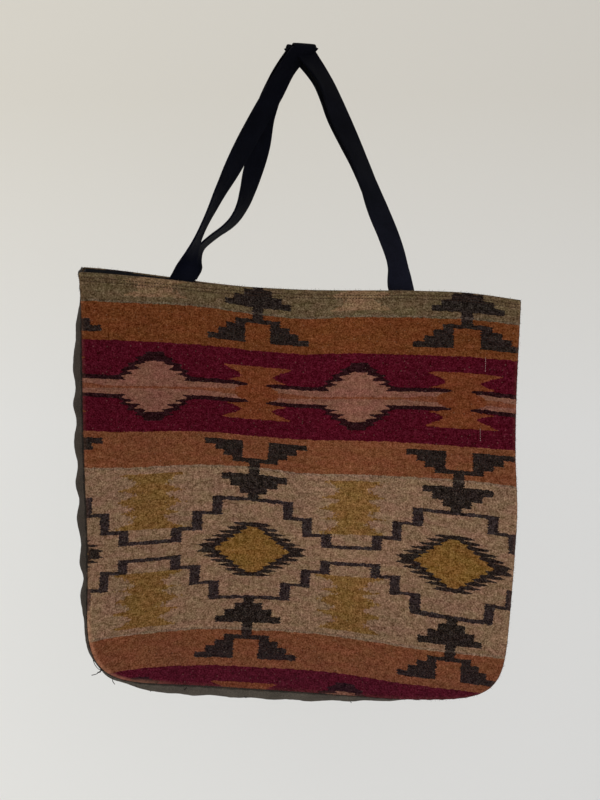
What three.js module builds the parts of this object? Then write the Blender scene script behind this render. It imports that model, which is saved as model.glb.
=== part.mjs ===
// Cloth tote bag that hangs by its two handles.
// Millimetres, Z up, the front faces -Y. The origin is the point under the folded handle tops where
// the bag is hung up.
import * as THREE from 'three';

// Overall sizes of the bag body
const RIM_WIDTH = 454;
const FOOT_WIDTH = 427;
const HEIGHT = 421;
const DEPTH = 44;
const CORNER_REACH = 70;
const CORNER_FULLNESS = 0.8;

// How the body hangs: skewed, with a belly, a pinched mouth and soft folds below the handles
const SKEW_DEG = 2.9;
const BELLY = 5;
const MOUTH_PINCH = 6;
const DRAPE = 2.2;
const DRAPE_FOLDS = 3;
const BACK_RIM_LIFT = 8;
const BACK_LIFT_REACH = 0.55;

// How it hangs out of square: lifts of the mouth and of the bottom at shares of the width, and how far the
// two sides are drawn to the right at shares of the height
const MOUTH_AT = [0, 0.05, 0.2, 0.28, 0.5, 0.77, 0.88, 1];
const MOUTH_LIFTS = [5.6, 5.2, 2.2, 0.2, -0.6, 4.3, 4.6, -0.2];
const FOOT_AT = [0, 0.16, 0.3, 0.45, 0.59, 0.7, 0.76, 0.81, 0.87, 1];
const FOOT_LIFTS = [3, 4.2, 5, 4.6, 2.4, 0.6, 1.6, 3.8, 6, 8.5];
const SIDES_AT = [0, 0.24, 0.38, 0.52, 0.64, 0.76, 0.88, 1];
const LEFT_SHIFTS = [0, -1.8, -2.6, -2.4, -1.8, -2.4, -3.2, -3];
const RIGHT_SHIFTS = [0, -1.6, -0.6, 3, 1.8, -0.4, -3, -3];

// Cloth thicknesses and sewing
const WOOL_THICKNESS = 2.4;
const TWILL_THICKNESS = 1.2;
const LINING_THICKNESS = 0.7;
const STRAP_THICKNESS = 2;
const HEM_DEPTH = 14;
const SEAM_ALLOWANCE = 8;
const SEAM_INSET = 1;
const LINING_DROP = 2;
const LINING_EASE = 0.8;
const GAP = 0.3;

// Gusset strip: how far it puffs out past the panels and is held back at the mouth and the left corner, from
// where across the bag it starts to turn inwards (a share of the half width), and the puckers along its seams
const PUFF_LEFT = 10;
const PUFF_BOTTOM = 10;
const PUFF_RIGHT = -7;
const PUFF_AT_MOUTH = 0.3;
const PUFF_FULL_AT = 50;
const CORNER_TUCK = 8.5;
const PUFF_TURNS_AT = -0.4;
const PUCKER_HEIGHT = 1.3;
const PUCKER_PITCH = 41;
const PUCKER_AT_BOTTOM = 0.4;

// Handles
const STRAP_WIDTH = 25;
const STRAP_SPREAD = 226;
const STRAP_OFFSET = -8.5;
const TAIL_LENGTH = 30;
const HANDLE_DROP = 253;
const FOLD_RADIUS = 2.5;
const FOLD_SPACING = 12;
const TOP_TURN_DEG = 30;
const HANDLE_BOW = 6;

// Fineness of the cloth surfaces
const CLOTH_COLUMNS = 20;
const SIDE_ROWS = 15;
const CORNER_ROWS = 8;
const GUSSET_STEPS = 108;
const GUSSET_COLUMNS = 4;
const LINING_SIDE_ROWS = 6;
const LINING_SIDE_COLUMNS = 3;
const LEG_STEPS = 30;
const LEG_CROWDING = 1.5;
const FOLD_STEPS = 8;

const FRONT = -1;
const BACK = 1;
const { lerp, smoothstep, degToRad } = THREE.MathUtils;
const slope = Math.tan(degToRad(SKEW_DEG));

const wool = new THREE.MeshStandardMaterial({ color: 0x6d4a38, roughness: 0.95, metalness: 0 });
const twill = new THREE.MeshStandardMaterial({ color: 0x6f675d, roughness: 0.9, metalness: 0 });
const liningCloth = new THREE.MeshStandardMaterial({ color: 0x131316, roughness: 0.75, metalness: 0 });
const strapCloth = new THREE.MeshStandardMaterial({ color: 0x17181d, roughness: 0.7, metalness: 0 });

// Outline of a panel in its own plane: x across, d down from the mouth. The left half is drawn, the
// right half is its mirror image.
const footHalf = FOOT_WIDTH / 2;
const rimHalf = RIM_WIDTH / 2;
const cornerTop = HEIGHT - CORNER_REACH;
const sideX = (d) => -lerp(rimHalf, footHalf, d / HEIGHT);
const fullDepth = cornerTop + CORNER_REACH * CORNER_FULLNESS;
const corner = new THREE.CubicBezierCurve(
  new THREE.Vector2(sideX(cornerTop), cornerTop),
  new THREE.Vector2(sideX(fullDepth), fullDepth),
  new THREE.Vector2(-footHalf + CORNER_REACH * (1 - CORNER_FULLNESS), HEIGHT),
  new THREE.Vector2(-footHalf + CORNER_REACH, HEIGHT),
);

// A point of the left edge with its outward direction, for a row at depth d or a step round the corner
function sideEdge(d) {
  const along = new THREE.Vector2(sideX(HEIGHT) - sideX(0), HEIGHT).normalize();
  return { x: sideX(d), d, outX: -along.y, outD: along.x };
}
function cornerEdge(t) {
  const point = corner.getPoint(t);
  const along = corner.getTangent(t);
  return { x: point.x, d: point.y, outX: -along.y, outD: along.x };
}

// Rows of a panel from the mouth to the bottom: the given depths, then the rows between, then the corner
function edgeRows(firstDepths, sideRows, cornerRows) {
  const start = firstDepths[firstDepths.length - 1];
  const rows = firstDepths.map(sideEdge);
  for (let i = 1; i <= sideRows; i += 1) rows.push(sideEdge(lerp(start, cornerTop, i / sideRows)));
  for (let i = 1; i <= cornerRows; i += 1) rows.push(cornerEdge(i / cornerRows));
  return rows;
}

// Columns of a panel as shares of its width, with one at each seam allowance
const seamShare = SEAM_ALLOWANCE / RIM_WIDTH;
const columns = [0];
for (let j = 0; j <= CLOTH_COLUMNS; j += 1) columns.push(lerp(seamShare, 1 - seamShare, j / CLOTH_COLUMNS));
columns.push(1);

// How the hung cloth stands: outer face of the panel on one side, and the lift of its mouth edge
function panelY(side, u, d) {
  const share = d / HEIGHT;
  const across = Math.sin(Math.PI * u);
  const belly = BELLY * across * Math.sin(Math.PI * share);
  const pinch = MOUTH_PINCH * across * (1 - share) ** 3;
  const folds = DRAPE * across * Math.sin(2 * Math.PI * DRAPE_FOLDS * u + side) * (1 - share) * share * 2;
  return side * (DEPTH / 2 + belly - pinch + folds);
}
const curve = (at, values) => {
  const interpolant = new THREE.CubicInterpolant(at, values, 1);
  return (share) => interpolant.evaluate(THREE.MathUtils.clamp(share, 0, 1))[0];
};
const mouthLift = curve(MOUTH_AT, MOUTH_LIFTS);
const footLift = curve(FOOT_AT, FOOT_LIFTS);
const leftShift = curve(SIDES_AT, LEFT_SHIFTS);
const rightShift = curve(SIDES_AT, RIGHT_SHIFTS);
function place(x, y, d) {
  const u = THREE.MathUtils.clamp(x / RIM_WIDTH + 0.5, 0, 1);
  const down = d / HEIGHT;
  const backLift = BACK_RIM_LIFT * (y / DEPTH + 0.5) * smoothstep(1 - u, 1 - BACK_LIFT_REACH, 1);
  const lift = (1 - down) ** 2 * (backLift + mouthLift(u)) + smoothstep(down, 0.5, 1) * footLift(u);
  const shift = smoothstep(1 - u, 0.65, 1) * leftShift(down) + smoothstep(u, 0.65, 1) * rightShift(down);
  return new THREE.Vector3(x + shift, y, lift - HANDLE_DROP - d - slope * x);
}

// How far the gusset stands out past the outline at a place across the bag and in its depth
function puff(x, y, d) {
  const rightward = smoothstep(x, PUFF_TURNS_AT * rimHalf, rimHalf);
  const round = Math.sin(Math.PI * smoothstep(x, sideX(cornerTop), -footHalf + CORNER_REACH));
  const side = PUFF_LEFT * lerp(PUFF_AT_MOUTH, 1, smoothstep(d, 0, PUFF_FULL_AT));
  const left = lerp(side, PUFF_BOTTOM, smoothstep(d, cornerTop, HEIGHT)) - CORNER_TUCK * round;
  return lerp(left, PUFF_RIGHT, rightward) * (1 - (2 * y / DEPTH) ** 2);
}

// Closed solids from grids of points
function solidFrom(points, triangles) {
  const geometry = new THREE.BufferGeometry();
  geometry.setFromPoints(points);
  geometry.setIndex(triangles);
  geometry.computeVertexNormals();
  return geometry;
}
function quad(triangles, a, b, c, d) {
  triangles.push(a, b, c, a, c, d);
}

// A sheet with thickness: two grids of equal size, outer and inner, joined round the border
function sheetSolid(outer, inner) {
  const rows = outer.length;
  const cols = outer[0].length;
  const points = [...outer.flat(), ...inner.flat()];
  const triangles = [];
  const out = (i, j) => i * cols + j;
  const inn = (i, j) => rows * cols + i * cols + j;
  for (let i = 0; i + 1 < rows; i += 1) {
    for (let j = 0; j + 1 < cols; j += 1) {
      quad(triangles, out(i, j), out(i + 1, j), out(i + 1, j + 1), out(i, j + 1));
      quad(triangles, inn(i, j), inn(i, j + 1), inn(i + 1, j + 1), inn(i + 1, j));
    }
  }
  for (let i = 0; i + 1 < rows; i += 1) {
    quad(triangles, out(i, 0), inn(i, 0), inn(i + 1, 0), out(i + 1, 0));
    quad(triangles, out(i, cols - 1), out(i + 1, cols - 1), inn(i + 1, cols - 1), inn(i, cols - 1));
  }
  for (let j = 0; j + 1 < cols; j += 1) {
    quad(triangles, out(0, j), out(0, j + 1), inn(0, j + 1), inn(0, j));
    quad(triangles, out(rows - 1, j), inn(rows - 1, j), inn(rows - 1, j + 1), out(rows - 1, j + 1));
  }
  return solidFrom(points, triangles);
}

// Wool panel: one sheet whose mouth edge is turned in as a hem, so it is double there
function panel(side) {
  const rows = edgeRows([0, HEM_DEPTH, HEM_DEPTH + WOOL_THICKNESS], SIDE_ROWS, CORNER_ROWS);
  const outer = [];
  const inner = [];
  rows.forEach((edge, i) => {
    const hemmed = i < 2;
    const outerRow = [];
    const innerRow = [];
    columns.forEach((u, j) => {
      const inSeam = j < 2 || j > columns.length - 3;
      const layers = hemmed && !inSeam ? 2 : 1;
      const x = lerp(edge.x, -edge.x, side === FRONT ? u : 1 - u);
      const y = panelY(side, x / (2 * Math.abs(edge.x)) + 0.5, edge.d);
      outerRow.push(place(x, y, edge.d));
      innerRow.push(place(x, y - side * layers * WOOL_THICKNESS, edge.d));
    });
    outer.push(outerRow);
    inner.push(innerRow);
  });
  return sheetSolid(outer, inner);
}

// Gusset: one strip round the left side, the bottom and the right side, puckered along its length
function gusset() {
  const edge = new THREE.Path();
  const end = corner.v3;
  edge.moveTo(sideX(0), 0);
  edge.lineTo(corner.v0.x, corner.v0.y);
  edge.bezierCurveTo(corner.v1.x, corner.v1.y, corner.v2.x, corner.v2.y, end.x, end.y);
  edge.lineTo(-end.x, end.y);
  edge.bezierCurveTo(-corner.v2.x, corner.v2.y, -corner.v1.x, corner.v1.y, -corner.v0.x, corner.v0.y);
  edge.lineTo(-sideX(0), 0);
  const length = edge.getLength();
  const reach = DEPTH / 2 - WOOL_THICKNESS - GAP;
  const outer = [];
  const inner = [];
  for (let i = 0; i <= GUSSET_STEPS; i += 1) {
    const share = i / GUSSET_STEPS;
    const point = edge.getPointAt(share);
    const along = edge.getTangentAt(share);
    const held = lerp(1, PUCKER_AT_BOTTOM, smoothstep(point.y, cornerTop, HEIGHT));
    const pucker = PUCKER_HEIGHT * held * Math.sin(2 * Math.PI * share * length / PUCKER_PITCH);
    const outerRow = [];
    const innerRow = [];
    for (let j = 0; j <= GUSSET_COLUMNS; j += 1) {
      const across = j / GUSSET_COLUMNS;
      const y = lerp(reach, -reach, across);
      const out = puff(point.x, y, point.y) + pucker * Math.sin(Math.PI * across) - SEAM_INSET;
      const at = (offset) => place(point.x - along.y * offset, y, point.y + along.x * offset);
      outerRow.push(at(out));
      innerRow.push(at(out - TWILL_THICKNESS));
    }
    outer.push(outerRow);
    inner.push(innerRow);
  }
  return sheetSolid(outer, inner);
}

// Where a strap stands: its middle on the mouth, and the face of the hem that it lies against
const strapX = (leg) => STRAP_OFFSET + leg * STRAP_SPREAD / 2;
const hemFace = (side, x, d) => panelY(side, x / RIM_WIDTH + 0.5, d) - side * (2 * WOOL_THICKNESS + GAP);

// Lining: a bag inside the bag. It keeps clear of the hem, and steps in behind the strap ends.
const strapEase = RIM_WIDTH / CLOTH_COLUMNS;
function liningY(side, x, u, d) {
  const away = Math.min(Math.abs(x - strapX(-1)), Math.abs(x - strapX(1))) - STRAP_WIDTH / 2;
  const beside = 1 - smoothstep(away, strapEase, 2 * strapEase);
  const above = 1 - smoothstep(d, TAIL_LENGTH + GAP, 2 * TAIL_LENGTH);
  const step = (STRAP_THICKNESS + GAP) * beside * above;
  return panelY(side, u, d) - side * (2 * WOOL_THICKNESS + LINING_EASE + step);
}
function lining() {
  const firstDepths = [LINING_DROP, HEM_DEPTH, TAIL_LENGTH + GAP, 2 * TAIL_LENGTH];
  const rows = edgeRows(firstDepths, LINING_SIDE_ROWS, CORNER_ROWS / 2);
  const sideClear = SEAM_INSET + TWILL_THICKNESS + PUCKER_HEIGHT + LINING_EASE;
  const last = rows.length - 1;
  // One face of the lining: rings from the mouth down, then the bottom between the last ring's sides
  const face = (thickness) => {
    const sidePoint = (edge, mirror, y) => {
      const out = puff(mirror * edge.x, y, edge.d) - sideClear - thickness;
      return { x: mirror * (edge.x + edge.outX * out), d: edge.d + edge.outD * out };
    };
    const clothY = (side, edge, u) => {
      const x = lerp(edge.x, -edge.x, u);
      return liningY(side, x, u, edge.d) - side * thickness;
    };
    const at = (edge, u, y) => {
      const left = sidePoint(edge, 1, y);
      const right = sidePoint(edge, -1, y);
      const x = lerp(left.x, right.x, u);
      const low = edge === rows[last];
      const d = low ? HEIGHT + puff(x, y, HEIGHT) - sideClear - thickness : lerp(left.d, right.d, u);
      return place(x, y, d);
    };
    const rings = rows.map((edge) => {
      const ring = columns.map((u) => at(edge, u, clothY(FRONT, edge, u)));
      for (const u of [1, 0]) {
        if (u === 0) ring.push(...[...columns].reverse().map((c) => at(edge, c, clothY(BACK, edge, c))));
        const near = clothY(u ? FRONT : BACK, edge, u);
        const far = clothY(u ? BACK : FRONT, edge, u);
        for (let k = 1; k < LINING_SIDE_COLUMNS; k += 1) {
          ring.push(at(edge, u, lerp(near, far, k / LINING_SIDE_COLUMNS)));
        }
      }
      return ring;
    });
    const floor = [];
    for (let k = 1; k < LINING_SIDE_COLUMNS; k += 1) {
      floor.push(columns.slice(1, -1).map((u) => {
        const y = lerp(clothY(FRONT, rows[last], u), clothY(BACK, rows[last], u), k / LINING_SIDE_COLUMNS);
        return at(rows[last], u, y);
      }));
    }
    return { rings, floor };
  };
  const points = [];
  const triangles = [];
  const count = 2 * columns.length + 2 * (LINING_SIDE_COLUMNS - 1);
  const wide = columns.length;
  const addFace = (thickness, turned) => {
    const { rings, floor } = face(thickness);
    const first = points.length;
    points.push(...rings.flat(), ...floor.flat());
    const ringAt = (i, j) => first + i * count + (j % count);
    const faceQuad = (a, b, c, d) => (turned ? quad(triangles, d, c, b, a) : quad(triangles, a, b, c, d));
    for (let i = 0; i < last; i += 1) {
      for (let j = 0; j < count; j += 1) {
        faceQuad(ringAt(i, j), ringAt(i + 1, j), ringAt(i + 1, j + 1), ringAt(i, j + 1));
      }
    }
    // The bottom's points: k runs from the front to the back, j from left to right
    const bottomAt = (k, j) => {
      if (k === 0) return ringAt(last, j);
      if (k === LINING_SIDE_COLUMNS) return ringAt(last, 2 * wide + LINING_SIDE_COLUMNS - 2 - j);
      if (j === 0) return ringAt(last, count - k);
      if (j === wide - 1) return ringAt(last, wide - 1 + k);
      return first + rings.length * count + (k - 1) * (wide - 2) + j - 1;
    };
    for (let k = 0; k < LINING_SIDE_COLUMNS; k += 1) {
      for (let j = 0; j + 1 < wide; j += 1) {
        faceQuad(bottomAt(k, j), bottomAt(k + 1, j), bottomAt(k + 1, j + 1), bottomAt(k, j + 1));
      }
    }
    return ringAt;
  };
  const outerAt = addFace(0, false);
  const innerAt = addFace(LINING_THICKNESS, true);
  for (let j = 0; j < count; j += 1) {
    quad(triangles, outerAt(0, j), outerAt(0, j + 1), innerAt(0, j + 1), innerAt(0, j));
  }
  return solidFrom(points, triangles);
}

// How each leg of a handle runs from the mouth (height 0) to the fold (height 1): its bow to the right
// of the straight line in millimetres, and its turn out of the front plane in degrees
const LEGS = {
  front_left: {
    height: [0, 0.03, 0.08, 0.2, 0.27, 0.34, 0.48, 0.6, 0.78, 0.92, 1],
    bow: [0, 0, -4.5, -8, -8.4, -8.7, -9, -9.5, -8, -6, 0],
    turn: [0, 8, 55, 78, 76, 69, 48, 40, 36, 34, TOP_TURN_DEG],
  },
  front_right: {
    height: [0, 0.03, 0.1, 0.22, 0.5, 0.7, 0.86, 1],
    bow: [0, 1.5, 6, 10, 11.5, 9, 8.5, 0],
    turn: [0, 8, 36, 34, 48, 36, 38, TOP_TURN_DEG],
  },
  back_left: {
    height: [0, 0.03, 0.08, 0.14, 0.19, 0.225, 0.26, 0.32, 0.39, 0.45, 0.57, 0.72, 0.88, 1],
    bow: [0, 0, -2.4, -1.7, 5, 13.5, 18.5, 21, 19, 16.2, 9.5, -2.6, -5.4, 0],
    turn: [0, 8, 60, 80, 80, 78, 74, 66, 55, 44, 34, 32, 32, TOP_TURN_DEG],
  },
  back_right: {
    height: [0, 0.03, 0.1, 0.22, 0.5, 0.7, 0.86, 1],
    bow: [0, 1.5, 8, 12.5, 14.5, 11.5, 9.5, 0],
    turn: [0, 8, 30, 30, 40, 33, 38, TOP_TURN_DEG],
  },
};
function legShape(name) {
  const { height, bow, turn } = LEGS[name];
  const bowAt = new THREE.CubicInterpolant(height, bow, 1);
  const turnAt = new THREE.CubicInterpolant(height, turn, 1);
  return (h) => ({ bow: bowAt.evaluate(h)[0], turn: degToRad(turnAt.evaluate(h)[0]) });
}

// Handle: a flat strap from one tail over the fold to the other tail. Every section lies level, turned
// about the vertical, and is as long as the strap's width needs there.
function handle(side) {
  const turn = degToRad(TOP_TURN_DEG);
  const acrossFold = new THREE.Vector3(-Math.sin(turn), Math.cos(turn), 0);
  const bend = FOLD_RADIUS + STRAP_THICKNESS / 2;
  const foldMiddle = acrossFold.clone().multiplyScalar(side * FOLD_SPACING / 2).setZ(-FOLD_RADIUS);
  const foldEnd = (end) => foldMiddle.clone().addScaledVector(acrossFold, end * bend);
  const strapFace = (x, d) => hemFace(side, x, d) - side * (STRAP_THICKNESS / 2 + GAP / 2);
  const legStations = (end) => {
    const x = strapX(end);
    const shape = legShape(`${side === FRONT ? 'front' : 'back'}_${end < 0 ? 'left' : 'right'}`);
    const tilt = Math.atan2(strapFace(x + 1, 0) - strapFace(x - 1, 0), 2);
    const base = place(x, strapFace(x, 0), 0);
    const stations = [];
    for (const d of [TAIL_LENGTH, TAIL_LENGTH / 2]) {
      stations.push({ middle: place(x, strapFace(x, d), d), turn: tilt });
    }
    for (let i = 0; i <= LEG_STEPS; i += 1) {
      const height = (i / LEG_STEPS) ** LEG_CROWDING;
      const { bow, turn: legTurn } = shape(height);
      const middle = base.clone().lerp(foldEnd(end), height);
      middle.x += bow;
      middle.y += side * HANDLE_BOW * Math.sin(Math.PI * height);
      stations.push({ middle, turn: legTurn + tilt * (1 - height) });
    }
    return stations;
  };
  const stations = legStations(-1);
  for (let i = 1; i < FOLD_STEPS; i += 1) {
    const angle = Math.PI * i / FOLD_STEPS;
    const middle = foldMiddle.clone().addScaledVector(acrossFold, -bend * Math.cos(angle));
    middle.z += bend * Math.sin(angle);
    stations.push({ middle, turn });
  }
  stations.push(...legStations(1).reverse());
  const front = [];
  const back = [];
  stations.forEach((station, i) => {
    const before = stations[Math.max(i - 1, 0)].middle;
    const after = stations[Math.min(i + 1, stations.length - 1)].middle;
    const along = after.clone().sub(before).normalize();
    const level = new THREE.Vector3(Math.cos(station.turn), Math.sin(station.turn), 0);
    const through = along.clone().cross(level);
    const half = STRAP_WIDTH / 2 / through.length();
    const normal = through.normalize().multiplyScalar(STRAP_THICKNESS / 2);
    const left = station.middle.clone().addScaledVector(level, -half);
    const right = station.middle.clone().addScaledVector(level, half);
    front.push([left.clone().add(normal), right.clone().add(normal)]);
    back.push([left.clone().sub(normal), right.clone().sub(normal)]);
  });
  return sheetSolid(front, back);
}

// The bag
const bag = new THREE.Group();
function add(name, geometry, material) {
  const mesh = new THREE.Mesh(geometry, material);
  mesh.name = name;
  bag.add(mesh);
}
add('front_panel', panel(FRONT), wool);
add('back_panel', panel(BACK), wool.clone());
add('gusset', gusset(), twill);
add('lining', lining(), liningCloth);
add('handle_front', handle(FRONT), strapCloth);
add('handle_back', handle(BACK), strapCloth.clone());

export default bag;
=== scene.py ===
import math
from random import Random

import bmesh
import bpy
from mathutils import Matrix, Vector, noise
from mathutils.geometry import interpolate_bezier


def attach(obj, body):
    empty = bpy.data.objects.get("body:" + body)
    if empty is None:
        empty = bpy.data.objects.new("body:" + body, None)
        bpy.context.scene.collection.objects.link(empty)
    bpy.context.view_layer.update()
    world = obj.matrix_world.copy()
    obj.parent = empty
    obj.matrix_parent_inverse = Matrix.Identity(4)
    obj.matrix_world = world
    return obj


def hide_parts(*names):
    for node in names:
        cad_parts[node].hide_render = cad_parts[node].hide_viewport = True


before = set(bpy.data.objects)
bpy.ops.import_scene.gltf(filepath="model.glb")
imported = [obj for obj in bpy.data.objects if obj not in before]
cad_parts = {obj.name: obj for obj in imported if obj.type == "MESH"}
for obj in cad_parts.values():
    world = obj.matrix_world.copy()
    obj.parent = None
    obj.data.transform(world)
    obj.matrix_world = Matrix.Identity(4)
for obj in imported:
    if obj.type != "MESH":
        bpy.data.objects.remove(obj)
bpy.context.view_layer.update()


# Wool panels. Front and back are cut from a felted blanket cloth, woven in bands with stepped figures.
# The mouth edge is turned in and sewn down as a hem, and the other edges roll into the gusset's seam.
RIM_HALF = 0.227
FOOT_HALF = 0.2135
HEIGHT = 0.421
HALF_DEPTH = 0.022
CORNER_REACH = 0.07
CORNER_FULLNESS = 0.8
CORNER_TOP = HEIGHT - CORNER_REACH
HANDLE_DROP = 0.253
SLOPE = math.tan(math.radians(2.9))
BELLY = 0.005
MOUTH_PINCH = 0.006
DRAPE = 0.0022
BACK_RIM_LIFT = 0.008
WOOL = 0.0024
HEM_DEPTH = 0.014
SEAM_ALLOWANCE = 0.008
EDGE_ROLL = 0.0036
EDGE_SINK = 0.7 * WOOL
WOOL_SHELL = 0.98 * WOOL
THINNEST_SHARE = 0.05
MOUTH_CORNER = 0.0026
HEM_STITCHES = (0.0052, 0.0086)
FURROW = 0.0009
FURROW_REACH = 0.0009
LUMP = 0.0011
LUMPS_PER_METRE = 16
WEAR = 0.12
WEAR_REACH = 0.0045
WEAR_GROWTH = 0.0015
WORN_THROUGH = 0.0005
# Painted light: where a paler band runs down both panels, and how wide it reaches
PAINTED_LIGHT_MIDDLE = 0.05
PAINTED_LIGHT_REACH = 0.042
FRONT = -1
BACK = 1


def side_x(d):
    return -(RIM_HALF + (FOOT_HALF - RIM_HALF) * d / HEIGHT)


def smooth(value, low, high):
    share = min(max((value - low) / (high - low), 0.0), 1.0)
    return share * share * (3 - 2 * share)


def corner_points(count):
    """The round lower left corner of a panel, as points across and down the cloth."""
    full = CORNER_TOP + CORNER_REACH * CORNER_FULLNESS
    low = -FOOT_HALF + CORNER_REACH * (1 - CORNER_FULLNESS)
    start, end = (side_x(CORNER_TOP), CORNER_TOP), (-FOOT_HALF + CORNER_REACH, HEIGHT)
    knots = (start, (side_x(full), full), (low, HEIGHT), end)
    return interpolate_bezier(*(Vector(k) for k in knots), count)


def panel_y(side, u, d):
    """Outer face of a hung panel: a belly, a pinched mouth and soft folds below the handles."""
    share = d / HEIGHT
    across = math.sin(math.pi * u)
    belly = BELLY * across * math.sin(math.pi * share)
    pinch = MOUTH_PINCH * across * (1 - share) ** 3
    folds = DRAPE * across * math.sin(6 * math.pi * u + side) * (1 - share) * share * 2
    return side * (HALF_DEPTH + belly - pinch + folds)


def through(knots, values, at):
    """A smooth line through the given values, held straight at both ends."""
    i = max(k for k in range(len(knots) - 1) if k == 0 or knots[k] <= at)
    span = knots[i + 1] - knots[i]
    p = (at - knots[i]) / span
    before = values[i - 1] if i else values[i + 1]
    after = values[i + 2] if i + 2 < len(knots) else values[i]
    pull = span / 2 / (knots[i] - knots[i - 1] if i else -span)
    push = span / 2 / (knots[i + 2] - knots[i + 1] if i + 2 < len(knots) else -span)
    return (
        before * (-pull * p ** 3 + 2 * pull * p ** 2 - pull * p)
        + values[i] * ((1 + pull) * p ** 3 + (-1.5 - 2 * pull) * p ** 2 + (-0.5 + pull) * p + 1)
        + values[i + 1] * ((-1 - push) * p ** 3 + (1.5 + push) * p ** 2 + 0.5 * p)
        + after * (push * p ** 3 - push * p ** 2)
    )


# How the bag hangs out of square: lifts of the mouth and of the bottom edge by the place across, and how far
# the two sides are drawn to the right by the share of the height, all in millimetres
LIFT_ACROSS = (0.0, 0.05, 0.2, 0.28, 0.5, 0.77, 0.88, 1.0)
MOUTH_LIFT = (5.6, 5.2, 2.2, 0.2, -0.6, 4.3, 4.6, -0.2)
FOOT_ACROSS = (0.0, 0.16, 0.3, 0.45, 0.59, 0.7, 0.76, 0.81, 0.87, 1.0)
FOOT_LIFT = (4.0, 6.4, 6.8, 5.8, 4.6, 3.2, 3.4, 4.6, 6.2, 8.5)
SIDE_DOWN = (0.0, 0.06, 0.24, 0.38, 0.52, 0.64, 0.76, 0.88, 1.0)
LEFT_SHIFT = (-2.6, -1.2, -1.8, -2.6, -2.4, -1.8, -3.2, -5.4, -5.4)
RIGHT_SHIFT = (0.0, -0.5, -1.6, -0.6, 3.0, 1.8, -0.4, -3.0, -3.0)


def place(x, y, d):
    """A point of the bag from its place across, in the depth, and down from the mouth, as the bag hangs."""
    u = min(max(x / (2 * RIM_HALF) + 0.5, 0.0), 1.0)
    down = min(max(d / HEIGHT, 0.0), 1.0)
    back_lift = BACK_RIM_LIFT * (y / (2 * HALF_DEPTH) + 0.5) * smooth(u, 0.55, 0.0)
    lift = (1 - d / HEIGHT) ** 2 * (back_lift + through(LIFT_ACROSS, MOUTH_LIFT, u) / 1000)
    lift += smooth(d, HEIGHT / 2, HEIGHT) * through(FOOT_ACROSS, FOOT_LIFT, u) / 1000
    shift = smooth(u, 0.35, 0.0) * through(SIDE_DOWN, LEFT_SHIFT, down)
    shift += smooth(u, 0.65, 1.0) * through(SIDE_DOWN, RIGHT_SHIFT, down)
    return Vector((x + shift / 1000, y, lift - HANDLE_DROP - d - SLOPE * x))


# How far the woven bands run off the panel's own depth, and the figures off its width, in millimetres, at
# places across and down it
DRIFT_ACROSS = (-0.227, -0.192, -0.099, -0.05, 0.004, 0.055, 0.11, 0.165, 0.213)
DRIFT_DOWN = (0.018, 0.06, 0.106, 0.152, 0.187, 0.232, 0.275, 0.318, 0.356, 0.405)
DRIFT = (
    (0.0, 0.5, 4.2, 0.2, -2.1, 0.7, 0.9, 1.0, 1.9),
    (-1.5, -0.3, 2.0, 0.1, -1.5, 0.9, 0.2, 0.6, 1.9),
    (-4.3, -3.6, 1.1, -0.3, -2.5, -1.3, -0.5, 0.0, -0.6),
    (-4.0, -3.5, 3.0, 1.4, 0.0, 0.8, 0.7, -0.9, -0.5),
    (-6.2, -5.0, 4.2, 4.7, 1.0, 1.6, 1.1, 0.5, -1.4),
    (-8.8, -6.3, 1.2, 1.2, -0.7, 1.8, -0.2, -4.1, -6.6),
    (-13.9, -11.5, -0.8, -0.5, -0.6, -1.6, -1.3, -5.2, -10.1),
    (-15.8, -15.2, -3.0, 0.2, -0.1, -3.6, -3.2, -9.3, -14.8),
    (-25.8, -19.7, -6.4, -4.2, -3.8, -6.8, -11.2, -17.2, -20.8),
    (-31.5, -19.5, -7.9, -7.0, -6.4, -8.2, -13.4, -19.6, -26.0),
)
SIDEWAYS = (
    (7.5, 2.5, 0.0, 0.0, -0.5, -2.0, -3.8, -6.9, -12.6),
    (5.4, 3.3, -0.8, 0.2, 0.2, -1.9, -3.7, -6.8, -11.4),
    (1.7, 0.7, 1.7, 0.7, 0.7, 1.7, 2.0, -1.6, -9.8),
    (0.5, 1.5, 1.5, 1.5, 1.5, 2.6, 1.9, 0.1, -5.5),
    (1.4, 1.4, 2.4, 3.5, 2.4, 2.4, 5.3, 1.9, -1.3),
    (0.5, 5.4, 3.9, 5.5, 6.5, 6.5, 7.5, 6.9, 5.6),
    (2.6, 5.4, 5.7, 5.7, 7.2, 8.8, 9.8, 7.8, 4.2),
    (0.0, 5.8, 7.8, 8.9, 9.9, 10.9, 9.9, 7.3, 5.8),
    (2.0, 7.4, 10.1, 11.1, 11.1, 11.1, 10.1, 8.0, 10.1),
    (13.4, 13.4, 13.4, 14.4, 14.9, 14.4, 13.4, 11.3, 14.4),
)
# Where the panels were cut from the cloth: how far the front's middle lies from a main figure's axis, and how
# the back's middle and mouth lie
FRONT_CUT = 0.0445
BACK_CUT = (0.021, 0.006)


def cloth_place(side, x, d):
    """Where a point of a panel lies on the woven cloth: across from a main figure, and down its bands."""
    if side == BACK:
        return (BACK_CUT[0] - x, d + BACK_CUT[1])
    offsets = []
    for table in (SIDEWAYS, DRIFT):
        rows = [through(DRIFT_ACROSS, row, x) for row in table]
        offsets.append(through(DRIFT_DOWN, rows, min(max(d, DRIFT_DOWN[0]), DRIFT_DOWN[-1])) / 1000)
    return (x + FRONT_CUT + offsets[0], d + offsets[1])


HEM_ROWS = 6
FOLD_ROWS = 8
FINE_ROWS = 16
FINE_STEP = 0.0009
PANEL_ROWS = 84
CORNER_ROWS = 40
COLUMNS = 170
EDGE_CROWDING = 0.75


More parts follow.
